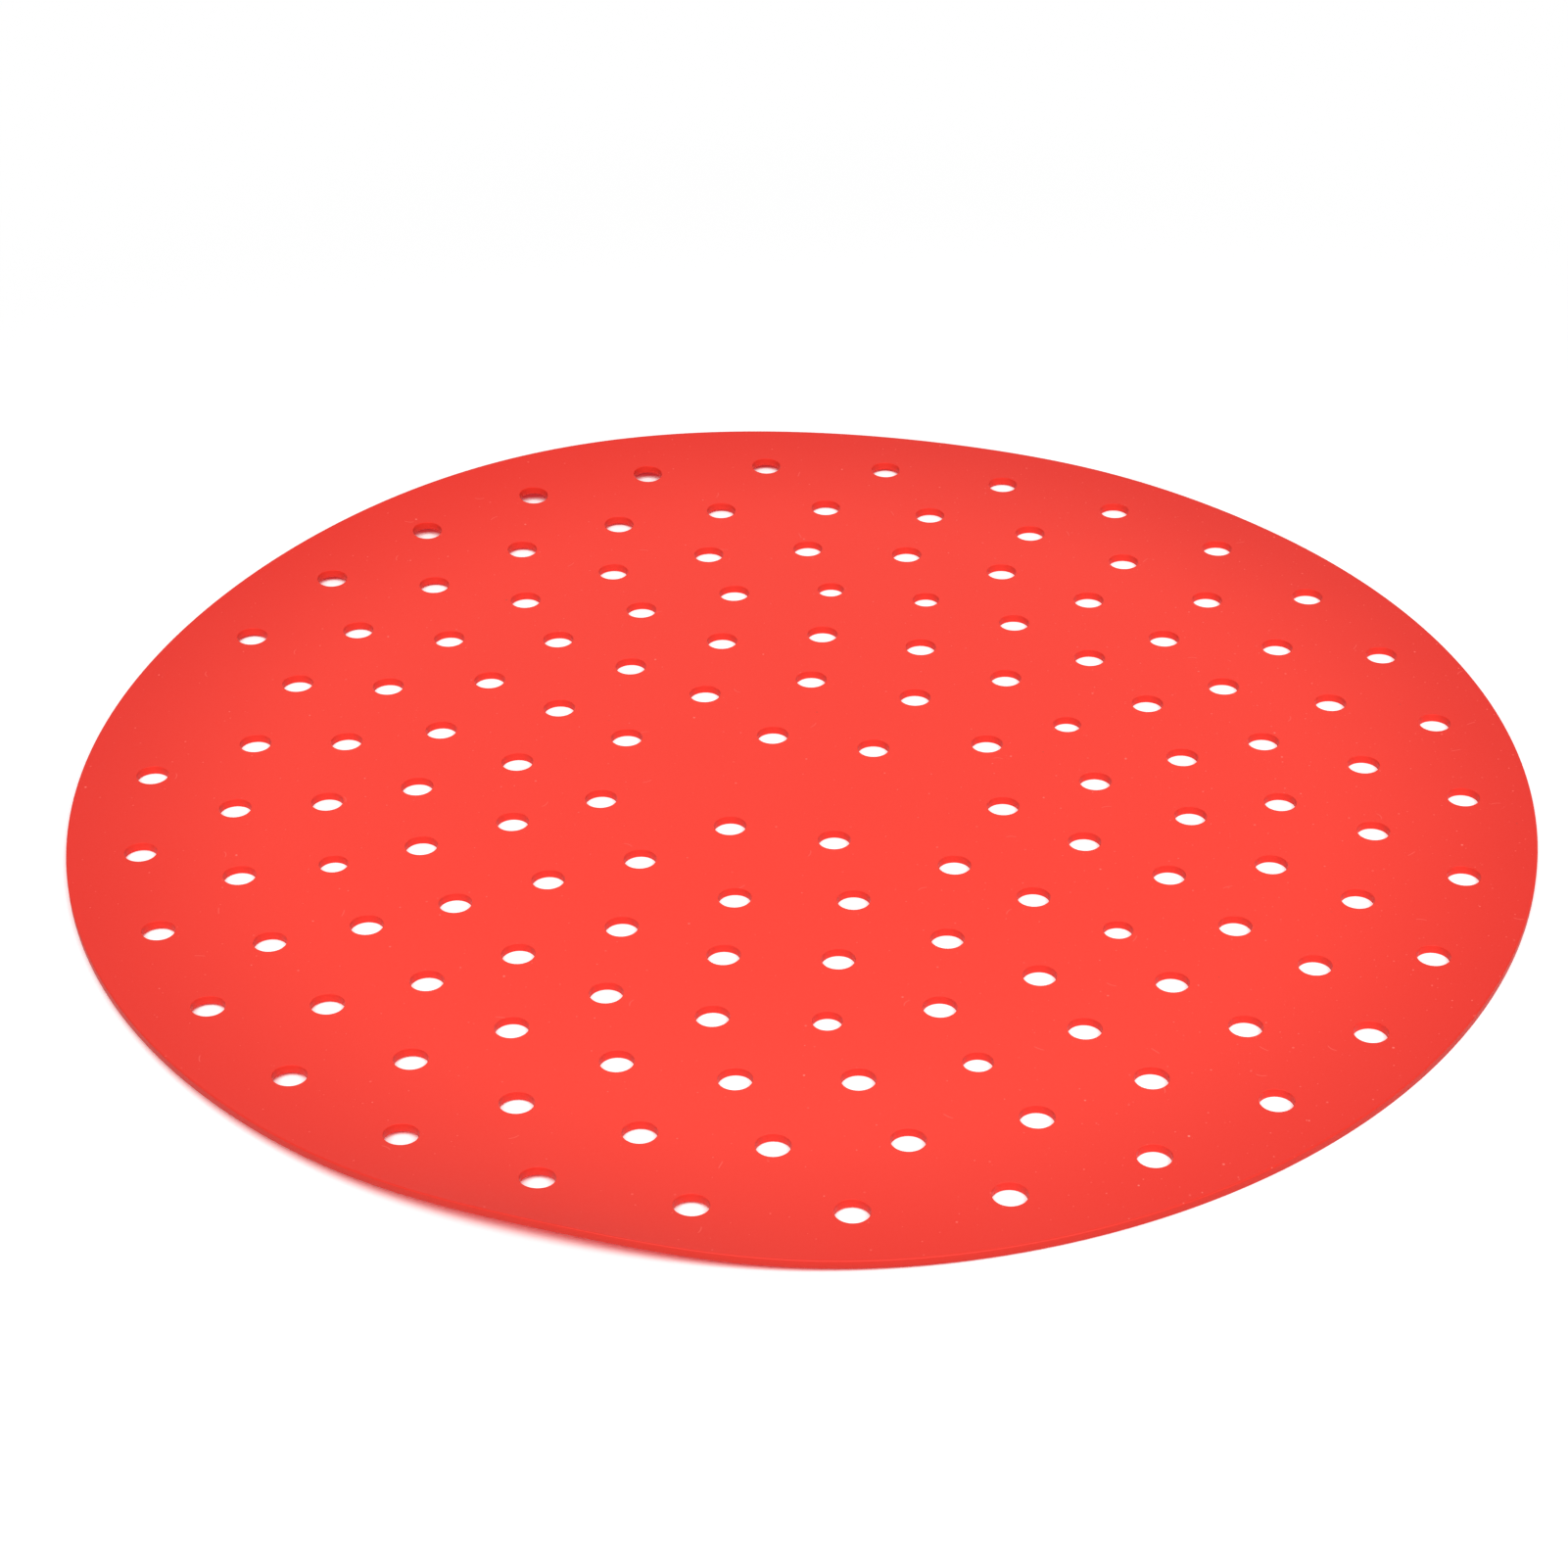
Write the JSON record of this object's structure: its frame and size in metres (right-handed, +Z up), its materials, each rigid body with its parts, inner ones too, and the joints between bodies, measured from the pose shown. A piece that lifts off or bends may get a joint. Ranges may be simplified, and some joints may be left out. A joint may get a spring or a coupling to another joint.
{
  "type": "silicone steamer liner",
  "caption": "Round thin silicone rubber sheet with rings of small steam holes and a slightly curled rim, laid in a steamer basket so that food doesn't stick.",
  "frame": {"origin": "centre of the underside, on the surface that the sheet lies on", "axes": "+Z up out of the face that carries the food, +X to the right and +Y away from the viewer of the picture"},
  "size_m": [0.2, 0.2, 0.0041],
  "materials": {
    "silicone": "satin"
  },
  "bodies": {
    "root": {"perforated_mat": "silicone"}
  },
  "joints": []
}
